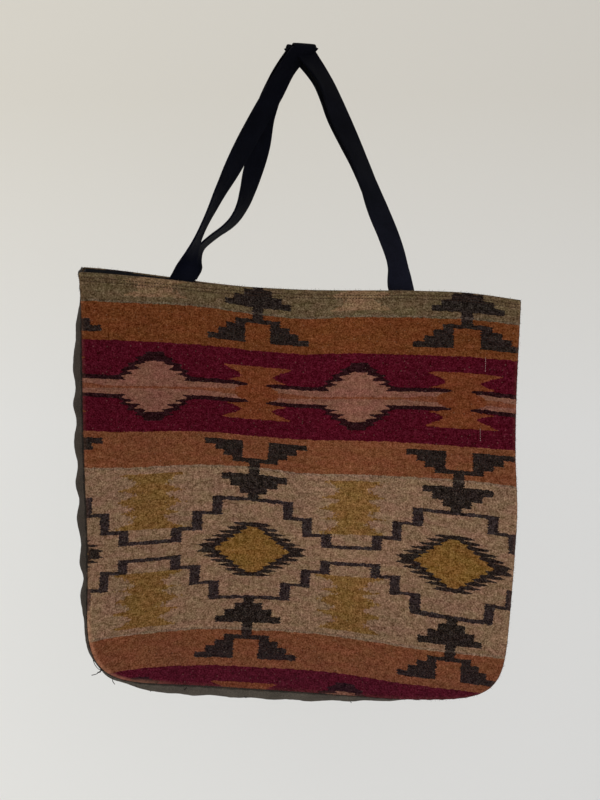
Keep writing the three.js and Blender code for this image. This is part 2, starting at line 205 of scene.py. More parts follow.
def panel_rows():
    """Rows of the cloth from the hem's raw edge, over the mouth fold, down to the bottom seam. Each gives
    the edge's place across and down, how square it runs, the fold's step inwards and the cloth's own run."""
    rows = []
    for k in range(HEM_ROWS):
        d = HEM_DEPTH + (WOOL - HEM_DEPTH) * k / HEM_ROWS
        rows.append((side_x(d), d, 1.0, 2 * WOOL, -d - (math.pi - 2) * WOOL))
    for k in range(FOLD_ROWS):
        turn = math.pi * (1 - k / FOLD_ROWS)
        edge_x = side_x(0) + MOUTH_CORNER * math.sin(turn) ** 2
        d, inwards = WOOL * (1 - math.sin(turn)), WOOL * (1 - math.cos(turn))
        rows.append((edge_x, d, 1.0, inwards, WOOL * (1 - turn)))
    depths = [WOOL + FINE_STEP * k for k in range(FINE_ROWS)]
    below = depths[-1]
    depths += [below + (CORNER_TOP - below) * k / PANEL_ROWS for k in range(1, PANEL_ROWS + 1)]
    rows += [(side_x(d), d, 1.0, 0.0, d) for d in depths]
    corner = corner_points(CORNER_ROWS + 1)
    for before, here in zip(corner, corner[1:]):
        run = (here - before).normalized()
        rows.append((here.x, here.y, run.y, 0.0, here.y))
    return rows


def face_y(side, x, d, half, square):
    """Outer face of the sewn panel, with rolled edges, lumps and the furrows of the hem's stitches."""
    to_edge = max(min((half - abs(x)) * square, HEIGHT - d), 0.0)
    roll = 0.0
    if to_edge < EDGE_ROLL:
        roll = EDGE_SINK * (1 - math.sqrt(1 - (1 - to_edge / EDGE_ROLL) ** 2))
    lumps = noise.noise(Vector((x * LUMPS_PER_METRE, d * LUMPS_PER_METRE, 7.0 * side)))
    furrow = sum(math.exp(-((d - s) / FURROW_REACH) ** 2) for s in HEM_STITCHES)
    y = panel_y(side, x / (2 * half) + 0.5, d)
    y -= side * (roll + LUMP * lumps * smooth(to_edge, 0.0, 0.03) + FURROW * furrow)
    return y, roll, to_edge


def smooth_cloth(bm, flat, on_cloth):
    """Shades a cloth smooth, and writes on it where each of its points lies on the flat cloth."""
    for face in bm.faces:
        face.smooth = True
        for loop in face.loops:
            loop[flat].uv = on_cloth[loop.vert]


def new_piece(name, bm):
    mesh = bpy.data.meshes.new(name)
    bm.to_mesh(mesh)
    bm.free()
    piece = bpy.data.objects.new(name, mesh)
    bpy.context.scene.collection.objects.link(piece)
    return piece


def thicken(piece, thickness, offset):
    shell = piece.modifiers.new("cloth_thickness", "SOLIDIFY")
    shell.thickness = thickness
    shell.offset = offset
    return shell


def wool_panel(name, side):
    rows = panel_rows()
    bm = bmesh.new()
    bmesh.ops.create_grid(bm, x_segments=COLUMNS, y_segments=len(rows) - 1, size=1.0)
    cloth = bm.loops.layers.uv.new("cloth")
    thickness = bm.verts.layers.deform.verify()
    wear = bm.verts.layers.float.new("wear")
    painted_light_patch = bm.verts.layers.float.new("painted_light_patch")
    on_cloth = {}
    for vert in bm.verts:
        g = (vert.co.x + 1) / 2
        edge_x, d, square, inwards, run = rows[round((1 - vert.co.y) / 2 * (len(rows) - 1))]
        u = g - EDGE_CROWDING * math.sin(2 * math.pi * g) / (2 * math.pi)
        if side == BACK:
            u = 1 - u
        half = -edge_x
        if inwards > WOOL:
            half -= SEAM_ALLOWANCE
        x = half * (2 * u - 1)
        roll, to_edge = 0.0, 1.0
        if inwards > 0.0:
            y = panel_y(side, x / (2 * abs(edge_x)) + 0.5, d) - side * inwards
        else:
            y, roll, to_edge = face_y(side, x, d, half, square)
        vert.co = place(x, y, d)
        vert[thickness][0] = 1 - roll / WOOL
        low_corner = smooth(d, 0.3, 0.38) * smooth(-x, 0.12, 0.17)
        worn = smooth(to_edge, WEAR_REACH + WEAR_GROWTH * low_corner, WORN_THROUGH)
        vert[wear] = worn * (WEAR + (1 - WEAR) * low_corner)
        # Painted light: a paler band a little right of the middle, seen from the front, over each panel's
        # upper part
        vert[painted_light_patch] = math.exp(-((x - PAINTED_LIGHT_MIDDLE) / PAINTED_LIGHT_REACH) ** 2) * smooth(d, 0.37, 0.27)
        on_cloth[vert] = cloth_place(side, x, run)
    smooth_cloth(bm, cloth, on_cloth)
    bm.normal_update()
    middle = max(bm.faces, key=lambda f: f.calc_area())
    if middle.normal.y * side < 0:
        bmesh.ops.reverse_faces(bm, faces=bm.faces)
    panel = new_piece(name, bm)
    panel.vertex_groups.new(name="cloth_thickness")
    shell = thicken(panel, WOOL_SHELL, -1.0)
    shell.vertex_group = "cloth_thickness"
    shell.thickness_vertex_group = THINNEST_SHARE
    return panel


VECTOR = "ShaderNodeVectorMath"


def feed(socket, value):
    """Links a node's output to a socket, or writes a plain value there."""
    if isinstance(value, bpy.types.NodeSocket):
        socket.id_data.links.new(value, socket)
    else:
        socket.default_value = value


def wire(node, inputs):
    for socket, value in inputs.items():
        feed(node.inputs[socket], value)


def new_material(name):
    material = bpy.data.materials.new(name)
    material.use_nodes = True
    return material, material.node_tree.nodes


def shader_node(nodes, kind, inputs, output=0):
    """A new node with its inputs fed. Gives back one of its outputs."""
    made = nodes.new("ShaderNode" + kind)
    wire(made, inputs)
    return made.outputs[output]


def calc(nodes, operation, *values, kind="ShaderNodeMath"):
    step = nodes.new(kind)
    step.operation = operation
    for socket, value in zip(step.inputs, values):
        feed(socket, value)
    return step.outputs[0]


def blend_colour(nodes, share, under, over, how="MIX"):
    mix = nodes.new("ShaderNodeMix")
    mix.data_type = "RGBA"
    mix.blend_type = how
    feed(mix.inputs["Factor"], share)
    for socket, value in ((mix.inputs[6], under), (mix.inputs[7], over)):
        feed(socket, value if isinstance(value, bpy.types.NodeSocket) else (*value, 1.0))
    return mix.outputs[2]


def flat_place(nodes, uv_name):
    """Where a point of the cloth lies when the cloth is flat, in metres."""
    on_cloth = nodes.new("ShaderNodeUVMap")
    on_cloth.uv_map = uv_name
    return on_cloth.outputs["UV"]


def painted(nodes, name):
    """A value that was written on the points of the mesh."""
    attribute = nodes.new("ShaderNodeAttribute")
    attribute.attribute_name = name
    return attribute.outputs["Fac"]


def fibre_noise(nodes, where, scale, detail=2.0, roughness=0.5, output="Fac"):
    inputs = {"Vector": where, "Scale": scale, "Detail": detail, "Roughness": roughness}
    return shader_node(nodes, "TexNoise", inputs, output)


def relief(nodes, height, depth):
    return shader_node(nodes, "Bump", {"Strength": 0.6, "Distance": depth, "Height": height}, "Normal")


def ramp(nodes, place_on_it, stops, stepped=False):
    """A colour ramp over the given places, stepped or with straight lines. A plain number is a grey."""
    band = nodes.new("ShaderNodeValToRGB")
    band.color_ramp.interpolation = "CONSTANT" if stepped else "LINEAR"
    feed(band.inputs["Fac"], place_on_it)
    elements = band.color_ramp.elements
    while len(elements) < len(stops):
        elements.new(0.5)
    for element, (position, colour) in zip(elements, stops):
        element.position = position
        element.color = (*colour, 1.0) if isinstance(colour, tuple) else (colour, colour, colour, 1.0)
    return band.outputs["Color"]


WIDEST_FIGURE = 100


def figure(nodes, beside, along, reach, rows, stepped=True):
    """Mask of a woven figure, symmetrical about its own axis. Each row gives a place along the axis and
    the figure's half width from there on, both in millimetres."""
    share = calc(nodes, "DIVIDE", along, reach)
    widths = [(p / 1000 / reach, w / WIDEST_FIGURE) for p, w in rows]
    half = calc(nodes, "MULTIPLY", ramp(nodes, share, widths, stepped), WIDEST_FIGURE / 1000)
    return calc(nodes, "GREATER_THAN", half, beside)


# Colours of the woven bands and figures, and of what lies on them
OLIVE = (0.088, 0.059, 0.031)
RUST_TOP = (0.109, 0.0315, 0.0095)
RUST = (0.137, 0.0455, 0.0195)
MAROON = (0.0535, 0.0024, 0.0078)
BEIGE = (0.183, 0.107, 0.065)
PINK = (0.158, 0.066, 0.045)
TAN = (0.172, 0.099, 0.055)
TIE_RUST = (0.122, 0.032, 0.0115)
GOLD = (0.15, 0.073, 0.018)
OLD_GOLD = (0.145, 0.073, 0.022)
DARK = (0.0135, 0.0092, 0.0082)
STEP_DARK = (0.0195, 0.013, 0.0134)
WINE_DARK = (0.0135, 0.0032, 0.0042)
EDGE_GREY = (0.1, 0.075, 0.06)
# Painted grazing light from below, added speckled over the lowest bands
PAINTED_GRAZING_LIGHT = (0.0055, 0.0032, 0.0055)
PALE_HAIR = (0.3, 0.24, 0.18)
BARE_FELT = (0.21, 0.1, 0.062)

# How strong the heather is, in all and in single bands, and how far the yarns wander
SPECKLE = 0.38
TUFTING = 0.36
FIELD_HEATHER = 0.25
MAROON_HEATHER = -0.1
# How much painted light the paler band down the panels adds
PAINTED_LIGHT_STRENGTH = 0.13
EYE_GAMMA = 2.2
YARN_WANDER = (0.0058, 0.0026, 0.0)

# The repeat of the pattern: half the pitch of the figures and of the bands, the middle of the maroon band,
# and where the rust and the fields begin from there. Then the place down the cloth where each band begins.
FIGURE_REPEAT = 0.1043
BAND_REPEAT = 0.163
MAROON_MIDDLE = 0.1094
RUST_START = 0.0451
FIELD_START = 0.0812
BANDS = (
    (-0.04, OLIVE), (0.0279, RUST_TOP), (0.0642, MAROON), (0.1544, RUST), (0.1902, BEIGE), (0.3545, RUST),
    (0.39, MAROON),
)
BAND_SPAN = 0.5
DARK_LINE = 0.0113
PINK_LINE = 0.0072
GLASS_MIDDLE = 0.0339
GLASS_HALF = 0.0271

# How far each kind of figure may reach along its axis, and then its heights and half widths in millimetres
MAROON_REACH = 0.04
GLASS_REACH = 0.065
BEIGE_REACH = 0.06
TREE_REACH = 0.08
TREE = (
    (0, 0), (6.8, 52.5), (12.8, 41.8), (18.8, 32.9), (24.8, 23.5), (30.7, 5.6), (43.1, 34.0),
    (49.2, 24.6), (55.4, 14.4), (61.6, 5.6), (67.0, 0),
)
TREE_DOORWAY = ((0, 12.8), (26.4, 0))
TERRACE = ((0, 104.5), (9.9, 82.9), (20.9, 62.8), (37.2, 42.6), (52.3, 0))
TERRACE_INSIDE = ((0, 104.5), (6.5, 82.9), (17.5, 62.8), (33.8, 42.6), (48.9, 0))
TERRACE_BLOCKS = ((0, 0), (6.5, 82.9), (17.5, 62.8), (33.8, 42.6), (52.3, 0))
TERRACE_BLOCKS_INSIDE = ((0, 104.5), (6.5, 72.4), (17.5, 52.4), (33.8, 32.0), (52.3, 0))
EYE_BORDER = (
    (0, 51), (1.8, 53), (3.4, 57.5), (5.0, 49), (5.9, 37.5), (6.8, 46), (8.3, 50.5), (9.7, 42),
    (10.6, 29.5), (11.5, 38.5), (12.9, 43), (14.3, 34), (15.2, 21.5), (16.1, 31), (17.6, 35.5),
    (19.0, 26.5), (19.9, 14), (20.8, 23.5), (22.4, 28), (23.7, 19), (24.6, 8.5), (25.4, 16), (26.8, 20.5),
    (27.8, 17), (28.4, 12), (28.6, 0),
)
EYE = (
    (0, 39), (1.4, 37.5), (3.4, 30.5), (4.6, 32.5), (5.8, 33.5), (6.6, 30), (8.3, 23.8), (9.4, 25.5),
    (10.5, 27), (11.3, 23.5), (12.9, 17.3), (14.0, 19), (15.1, 20.5), (15.9, 17), (17.6, 10.8),
    (18.8, 12.5), (19.8, 14), (20.6, 11), (22.2, 5), (23.2, 6), (24.0, 6.5), (24.4, 0),
)
HOURGLASS = (
    (0, 0), (6.6, 0), (6.8, 29), (8.2, 31), (11.0, 22), (15.0, 15.5), (18.6, 17), (22.2, 29), (23.8, 33),
    (25.2, 20), (26.6, 15), (30.0, 19), (34.6, 32.5), (37.4, 24), (41.4, 15), (43.6, 20), (45.2, 31),
    (46.6, 20), (48.6, 15.5), (53.0, 17), (56.4, 24), (59.0, 33.5), (60.8, 32), (61.0, 0),
)
DIAMOND = (
    (0, 31), (5.5, 30), (7.6, 29.5), (10.9, 34), (12.0, 29), (13.4, 21), (15.9, 29), (16.6, 24),
    (17.8, 13), (21.2, 20.5), (21.8, 17), (23.4, 8), (24.6, 10), (25.4, 9.5), (25.6, 0),
)
DIAMOND_SHADOW = (
    (0, 42), (11.3, 42), (12.2, 37), (14.6, 31.5), (17.4, 35), (19.0, 28), (20.6, 25), (22.8, 28.5),
    (24.6, 20), (26.2, 16.5), (28.6, 19.5), (30.2, 12.5), (32.0, 10), (34.6, 9), (34.8, 0),
)
BOW_TIE = (
    (0, 23), (4.4, 21), (6.8, 15), (8.6, 9), (10.0, 9.5), (11.2, 17), (12.4, 31), (13.8, 24), (17.2, 15),
    (20.5, 19), (26.6, 34.5), (27.6, 34), (27.8, 0),
)


def wool_cloth():
    material, nodes = new_material("patterned_wool")
    flat = flat_place(nodes, "cloth")

    # The yarns wander a little, so every edge of the pattern is slightly ragged
    weft_rows = shader_node(nodes, "Mapping", {"Vector": flat, "Scale": (0.45, 1.6, 1.0)})
    wander = fibre_noise(nodes, weft_rows, 460.0, 1.0, output="Color")
    centred = calc(nodes, "SUBTRACT", wander, (0.5, 0.5, 0.5), kind=VECTOR)
    ragged = calc(nodes, "MULTIPLY_ADD", centred, YARN_WANDER, flat, kind=VECTOR)
    across = shader_node(nodes, "SeparateXYZ", {"Vector": ragged}, "X")
    down = shader_node(nodes, "SeparateXYZ", {"Vector": ragged}, "Y")

    # Distances from the main figures' axis, from the other figures' axis, and from the middles of the
    # maroon and the beige bands
    main = calc(nodes, "PINGPONG", across, FIGURE_REPEAT)
    other = calc(nodes, "SUBTRACT", FIGURE_REPEAT, main)
    maroon_run = calc(nodes, "PINGPONG", calc(nodes, "SUBTRACT", down, MAROON_MIDDLE), BAND_REPEAT)
    beige_run = calc(nodes, "SUBTRACT", BAND_REPEAT, maroon_run)
    rust_run = calc(nodes, "SUBTRACT", maroon_run, RUST_START)
    field_run = calc(nodes, "SUBTRACT", maroon_run, FIELD_START)
    upper = calc(nodes, "LESS_THAN", down, MAROON_MIDDLE)
    lower = calc(nodes, "SUBTRACT", 1.0, upper)

    top = BANDS[0][0]
    band_share = calc(nodes, "DIVIDE", calc(nodes, "SUBTRACT", down, top), BAND_SPAN)
    colour = ramp(nodes, band_share, [((start - top) / BAND_SPAN, tone) for start, tone in BANDS], True)

    specks = fibre_noise(nodes, flat, 620.0, 1.0)
    cover = ramp(nodes, fibre_noise(nodes, flat, 850.0, 2.0, 0.6), [(0.54, 1.0), (0.74, 0.72)])

    def only(mask, where):
        return calc(nodes, "MULTIPLY", mask, where)

    def without(mask, hole):
        return calc(nodes, "MULTIPLY", mask, calc(nodes, "SUBTRACT", 1.0, hole))

    def lay(mask, over):
        return blend_colour(nodes, mask, colour, over)

    def lay_dark(mask, over):
        return lay(only(mask, cover), over)

    def in_beige(rows, stepped=True):
        return figure(nodes, main, beige_run, BEIGE_REACH, rows, stepped)

    # Maroon band: a striped line with pink diamonds on dark steps, and rust bow ties
    colour = lay_dark(calc(nodes, "LESS_THAN", maroon_run, DARK_LINE), WINE_DARK)
    colour = lay_dark(figure(nodes, other, maroon_run, MAROON_REACH, DIAMOND_SHADOW, False), WINE_DARK)
    colour = lay(calc(nodes, "LESS_THAN", maroon_run, PINK_LINE), PINK)
    colour = lay(figure(nodes, other, maroon_run, MAROON_REACH, DIAMOND, False), PINK)
    thinning = {"Value": main, "From Min": 0.035, "From Max": 0.055, "To Min": 0.0027, "To Max": 0.0011}
    thin = calc(nodes, "LESS_THAN", maroon_run, shader_node(nodes, "MapRange", thinning))
    colour = lay(only(thin, 0.75), TIE_RUST)
    colour = lay(figure(nodes, main, maroon_run, MAROON_REACH, BOW_TIE, False), TIE_RUST)

    # Hourglasses stand in the beige and olive fields, and the beige has terraced lines round gold eyes
    woolly = calc(nodes, "MULTIPLY_ADD", fibre_noise(nodes, flat, 300.0), 0.03, -0.015)
    glass = figure(nodes, calc(nodes, "ADD", other, woolly), field_run, GLASS_REACH, HOURGLASS, False)
    glass = only(glass, calc(nodes, "COMPARE", field_run, GLASS_MIDDLE, GLASS_HALF))
    colour = lay(only(glass, lower), OLD_GOLD)
    colour = lay(only(only(glass, upper), 0.68), TAN)
    line = without(in_beige(TERRACE), in_beige(TERRACE_INSIDE))
    blocks = without(in_beige(TERRACE_BLOCKS), in_beige(TERRACE_BLOCKS_INSIDE))
    colour = lay_dark(only(calc(nodes, "MAXIMUM", line, blocks), lower), STEP_DARK)
    colour = lay_dark(only(in_beige(EYE_BORDER, False), lower), DARK)
    colour = lay(only(in_beige(EYE, False), lower), GOLD)

    # A dark tree stands in each rust band and reaches into the field beyond it
    tree = figure(nodes, main, rust_run, TREE_REACH, TREE)
    colour = lay_dark(without(tree, figure(nodes, main, rust_run, TREE_REACH, TREE_DOORWAY)), DARK)

    # The weft line at each edge of the beige and olive fields is greyer
    colour = lay(only(calc(nodes, "COMPARE", field_run, 0.001, 0.0011), 0.3), EDGE_GREY)

    # Heather: pale and dark fibres in every yarn, tufts that lie differently, a pinkish or greenish cast in
    # low patches, broad shades from dyeing, and painted light: one paler band down the cloth
    low = shader_node(nodes, "Mapping", {"Vector": flat, "Scale": (1.0, 2.4, 1.0)})
    casts = fibre_noise(nodes, low, 46.0, 2.0, 0.6)
    shades = fibre_noise(nodes, flat, 34.0, 3.0, 0.6)
    for layer in (
        ramp(nodes, casts, [(0.36, (1.04, 0.97, 1.02)), (0.64, (0.96, 1.03, 0.96))]),
        ramp(nodes, shades, [(0.3, (0.9, 0.9, 0.92)), (0.7, (1.1, 1.1, 1.08))]),
    ):
        colour = blend_colour(nodes, 1.0, colour, layer, "MULTIPLY")
    colour = blend_colour(nodes, only(painted(nodes, "painted_light_patch"), PAINTED_LIGHT_STRENGTH), colour, colour, "ADD")
    tufts = fibre_noise(nodes, flat, 210.0, 3.0, 0.7)
    fleck = calc(nodes, "MULTIPLY_ADD", specks, SPECKLE, -0.5 * SPECKLE)
    fleck = calc(nodes, "MULTIPLY_ADD", tufts, TUFTING, calc(nodes, "ADD", fleck, -0.5 * TUFTING))
    in_field = calc(nodes, "GREATER_THAN", field_run, 0.0)
    in_maroon = calc(nodes, "LESS_THAN", maroon_run, RUST_START)
    by_band = calc(nodes, "MULTIPLY_ADD", in_field, FIELD_HEATHER, 1.0)
    by_band = calc(nodes, "MULTIPLY_ADD", in_maroon, MAROON_HEATHER, by_band)
    fleck = only(fleck, by_band)
    eye_tone = shader_node(nodes, "Gamma", {"Color": colour, "Gamma": 1 / EYE_GAMMA})
    stronger = calc(nodes, "MULTIPLY_ADD", fleck, 1.2, 1.0)
    flecked = calc(nodes, "MULTIPLY_ADD", eye_tone, stronger, only(fleck, 0.5), kind=VECTOR)
    above_black = calc(nodes, "MAXIMUM", flecked, (0.02, 0.02, 0.02), kind=VECTOR)
    colour = shader_node(nodes, "Gamma", {"Color": above_black, "Gamma": EYE_GAMMA})

    # The lowest bands carry painted grazing light, speckled and greyish pink, pale hairs lie on the nap,
    # and the felt is rubbed paler along the edges
    painted_grazing_light = ramp(nodes, band_share, [(0.78, 0.0), (0.89, 1.0)])
    painted_grazing_light = only(painted_grazing_light, calc(nodes, "MULTIPLY_ADD", specks, 3.4, -0.7))
    colour = blend_colour(nodes, painted_grazing_light, colour, PAINTED_GRAZING_LIGHT, "ADD")
    hairs = ramp(nodes, fibre_noise(nodes, flat, 520.0, 0.0), [(0.75, 0.0), (0.79, 0.14)])
    colour = lay(hairs, PALE_HAIR)
    rubbed = only(painted(nodes, "wear"), only(tufts, 1.6))
    colour = blend_colour(nodes, rubbed, colour, BARE_FELT, "ADD")
    nap = fibre_noise(nodes, flat, 700.0, 3.0, 0.65)
    wire(nodes["Principled BSDF"], {
        "Base Color": colour, "Roughness": 0.95, "Specular IOR Level": 0.02, "Sheen Weight": 0.015,
        "Sheen Roughness": 0.6, "Normal": relief(nodes, nap, 0.0006),
    })
    return material


wool = wool_cloth()
front_panel = wool_panel("wool_front", FRONT)
back_panel = wool_panel("wool_back", BACK)
for panel, node in ((front_panel, "front_panel"), (back_panel, "back_panel")):
    panel.data.materials.append(wool)
    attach(panel, "root")
    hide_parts(node)


# Hem stitching. Two rows of dark thread run close below the mouth and hold each turned hem. The stitches are
# short and tight, and sink into the felt.
STITCH_PITCH = 0.0031
STITCH_FILL = 0.42
STITCH_MARGIN = 0.0015
STITCH_WOBBLE = 0.0004
THREAD = 0.0005
THREAD_PROUD = 0.0001


def stitch_row(bm, points, thread):
    """One stitch from each point towards the next: a rounded grain of thread that leaves a short gap."""
    for here, beyond in zip(points, points[1:]):
        run = beyond - here
        turn = Vector((1, 0, 0)).rotation_difference(run).to_matrix().to_4x4()
        size = Matrix.Diagonal((STITCH_FILL * run.length, thread, thread, 1.0))
        grain = Matrix.Translation((here + beyond) / 2) @ turn @ size
        bmesh.ops.create_icosphere(bm, subdivisions=1, radius=1.0, matrix=grain)


def thread_material(name, colour):
    material, nodes = new_material(name)
    twist = fibre_noise(nodes, nodes.new("ShaderNodeTexCoord").outputs["Object"], 900.0)
    tone = blend_colour(nodes, 1.0, colour, ramp(nodes, twist, [(0.3, 0.6), (0.7, 1.4)]), "MULTIPLY")
    wire(nodes["Principled BSDF"], {"Base Color": tone, "Roughness": 0.8, "Specular IOR Level": 0.1})
    return material


def sew(name, rows, material, thread=THREAD):
    bm = bmesh.new()
    for points in rows:
        stitch_row(bm, points, thread)
    stitches = new_piece(name, bm)
    stitches.data.materials.append(material)
    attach(stitches, "root")
    return stitches


hem_thread = thread_material("brown_hem_thread", (0.03, 0.0135, 0.0075))
for name, side in (("hem_stitches_front", FRONT), ("hem_stitches_back", BACK)):
    hem_rows = []
    for d in HEM_STITCHES:
        half = -side_x(d)
        count = int(2 * half / STITCH_PITCH)
        points = []
        for k in range(count + 1):
            x = (half - STITCH_MARGIN) * (2 * k / count - 1)
            wobble = STITCH_WOBBLE * noise.noise(Vector((x * 30, d * 500, side)))
            y = face_y(side, x, d + wobble, half, 1.0)[0]
            points.append(place(x, y + side * THREAD_PROUD, d + wobble))
        hem_rows.append(points)
    sew(name, hem_rows, hem_thread)


# Gusset. One long strip of grey-brown twill, sewn between the panels round the left side, the bottom and the
# right side. It puffs out at the left and the bottom, folds inwards at the right, and puckers at its seams.
TWILL = 0.0012
SEAM_INSET = 0.001
GAP = 0.0003
GUSSET_REACH = HALF_DEPTH - WOOL - GAP
PUFF_LEFT = 0.010
PUFF_LEFT_LOSS = 0.003
PUFF_BOTTOM = 0.010
PUFF_BOTTOM_GAIN = 0.0022
PUFF_RIGHT = -0.007
CORNER_TUCK = 0.0056
TUCK_RUN = CORNER_REACH + 0.01
PUCKER = 0.0015
PUCKER_PITCH = 0.041
GATHER = 0.0004
GATHER_PITCH = 0.0135
CREASE = 0.0006
GUSSET_STEPS = 880
GUSSET_COLUMNS = 24


def puff(x, y, d):
    """How far the strip stands out past the panels' outline, at a place across, in the depth and down."""
    rightward = smooth(x, 0.0, RIM_HALF)
    round_x = (x - side_x(CORNER_TOP)) / TUCK_RUN
    round_d = (d - CORNER_TOP) / CORNER_REACH
    corner = math.sin(math.pi * min(max((round_x + round_d) / 2, 0.0), 1.0))
    left = PUFF_LEFT * smooth(d, 0.006, 0.085) - PUFF_LEFT_LOSS * smooth(d, 0.26, 0.335)
    bottom = PUFF_BOTTOM + PUFF_BOTTOM_GAIN * smooth(x, -0.2, -0.12) * smooth(x, 0.05, -0.06)
    left += (bottom - left) * smooth(d, CORNER_TOP, HEIGHT) - CORNER_TUCK * corner
    return (left + (PUFF_RIGHT - left) * rightward) * (1 - (y / GUSSET_REACH) ** 2)


def seam_line(count):
    """Even steps along the panels' sewn outline: each point, the run's direction and the length to there."""
    left = [Vector((side_x(d), d)) for d in (0.0, CORNER_TOP / 2)] + corner_points(60)
    outline = left + [Vector((-p.x, p.y)) for p in reversed(left)]
    lengths = [0.0]
    for before, here in zip(outline, outline[1:]):
        lengths.append(lengths[-1] + (here - before).length)
    stations = []
    i = 0
    for k in range(count + 1):
        run = lengths[-1] * k / count
        while i < len(lengths) - 2 and lengths[i + 1] < run:
            i += 1
        along = (outline[i + 1] - outline[i]) / (lengths[i + 1] - lengths[i])
        stations.append((outline[i] + along * (run - lengths[i]), along, run))
    return stations


def gusset_point(station, across):
    """A point of the strip's outer face, from the front seam (0) to the back seam (1)."""
    at, along, run = station
    y = GUSSET_REACH * (2 * across - 1)
    middle = math.sin(math.pi * across)
    swell = noise.noise(Vector((run * 14, 3.0, 0.0)))
    wave = math.sin(2 * math.pi * (run / PUCKER_PITCH + 0.35 * swell)) * (1.0 + 0.6 * swell)
    gathers = math.sin(2 * math.pi * run / GATHER_PITCH + 2.0 * swell) * (1 - middle) ** 2
    broad = noise.noise(Vector((run * 70, across * 2.5, 11.0)))
    fine = noise.noise(Vector((run * 210, across * 4.0, 4.0)))
    eased = smooth(at.y, 0.0, 0.09) - 0.6 * smooth(at.y, CORNER_TOP, HEIGHT)
    out = puff(at.x, y, at.y) - SEAM_INSET + PUCKER * eased * wave * middle
    out += GATHER * gathers + CREASE * (broad + 0.5 * fine) * middle
    return place(at.x - along.y * out, y, at.y + along.x * out)


def sheet_mesh(name, columns, rows, shape, uv_name):
    """A cloth mesh from a grid: shape gives the point and its place on the flat cloth by column and row."""
    bm = bmesh.new()
    bmesh.ops.create_grid(bm, x_segments=columns, y_segments=rows, size=1.0)
    flat = bm.loops.layers.uv.new(uv_name)
    on_cloth = {}
    for vert in bm.verts:
        column = round((vert.co.x + 1) / 2 * columns)
        row = round((vert.co.y + 1) / 2 * rows)
        vert.co, on_cloth[vert] = shape(column, row)
    smooth_cloth(bm, flat, on_cloth)
    return new_piece(name, bm)


def cloth_material(name, uv_name, colour, pitch, angle, depth, fade, roughness, sheen, gloss=0.06):
    """A woven cloth: straight or slanted ribs at their pitch, darker in their grooves as painted shade,
    uneven yarns and slightly faded patches.
    """
    material, nodes = new_material(name)
    flat = flat_place(nodes, uv_name)
    turned = shader_node(nodes, "Mapping", {"Vector": flat, "Rotation": (0.0, 0.0, math.radians(angle))})
    waves = {"Vector": turned, "Scale": 2 * math.pi / (20 * pitch), "Distortion": 0.6, "Detail": 1.0}
    ribs = shader_node(nodes, "TexWave", waves, "Fac")
    tone = colour
    # Yarn tones vary at random and in broad patches, and the ribs carry painted shade where their bump sinks
    for layer in (
        ramp(nodes, fibre_noise(nodes, flat, 620.0, 3.0, 0.7), [(0.3, 0.6), (0.7, 1.4)]),
        ramp(nodes, fibre_noise(nodes, flat, 40.0, 3.0, 0.6), [(0.3, 1.0 - fade), (0.7, 1.0 + fade)]),
        ramp(nodes, ribs, [(0.0, 0.8), (1.0, 1.15)]),
    ):
        tone = blend_colour(nodes, 1.0, tone, layer, "MULTIPLY")
    wire(nodes["Principled BSDF"], {
        "Base Color": tone, "Roughness": roughness, "Specular IOR Level": gloss, "Sheen Weight": sheen,
        "Sheen Roughness": 0.5, "Normal": relief(nodes, ribs, depth),
    })
    return material


def tint(material, uv_name, axis, span, stops):
    """Multiplies a cloth's colour by tones that change across (X) or along (Y) the flat cloth."""
    nodes = material.node_tree.nodes
    base = nodes["Principled BSDF"].inputs["Base Color"]
    run = shader_node(nodes, "SeparateXYZ", {"Vector": flat_place(nodes, uv_name)}, axis)
    tones = ramp(nodes, calc(nodes, "DIVIDE", run, span), stops)
    feed(base, blend_colour(nodes, 1.0, base.links[0].from_socket, tones, "MULTIPLY"))


seam = seam_line(GUSSET_STEPS)


def gusset_shape(column, row):
    across = 1 - column / GUSSET_COLUMNS
    return gusset_point(seam[row], across), (across * 2 * GUSSET_REACH, seam[row][2])


# The strip is paler along the bottom, rubbed there and with painted light from below, and has painted shade
# beside both seams
TWILL_RUBBED_AND_PAINTED_LIGHT = (1.82, 2.0, 2.08)
BELOW_RUBBED_AND_PAINTED_LIGHT = [(0.31, 1.0), (0.37, TWILL_RUBBED_AND_PAINTED_LIGHT), (0.63, TWILL_RUBBED_AND_PAINTED_LIGHT), (0.69, 1.0)]
SEAM_SHADE = [(0.045, 0.4), (0.068, 1.0), (0.932, 1.0), (0.955, 0.4)]
gusset = sheet_mesh("twill_gusset", GUSSET_COLUMNS, GUSSET_STEPS, gusset_shape, "strip")
thicken(gusset, TWILL, -1.0)
twill = cloth_material(
    "grey_twill", "strip", (0.05, 0.039, 0.031), pitch=0.0014, angle=38, depth=0.00035, fade=0.25,
    roughness=0.9, sheen=0.05,
)
# Rubbed and painted light along the bottom, then painted shade beside both seams
tint(twill, "strip", "Y", seam[-1][2], BELOW_RUBBED_AND_PAINTED_LIGHT)
tint(twill, "strip", "X", 2 * GUSSET_REACH, SEAM_SHADE)
gusset.data.materials.append(twill)
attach(gusset, "root")
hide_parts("gusset")


# Seam stitching and loose ends. Dark thread closes both seams of the gusset, and a few ends were never
# trimmed: a crossed tuft at the lower left corner, one hanging end, and short bits along the bottom.
SEAM_AT = (0.085, 0.915)
SEAM_STEP = 3
SEAM_END = 4
seam_thread = thread_material("dark_seam_thread", (0.014, 0.0085, 0.0085))
seam_rows = []
for across in SEAM_AT:
    seam_rows.append([gusset_point(station, across) for station in seam[SEAM_END:-SEAM_END:SEAM_STEP]])
sew("seam_stitches", seam_rows, seam_thread)

LOOSE_END = 0.0004
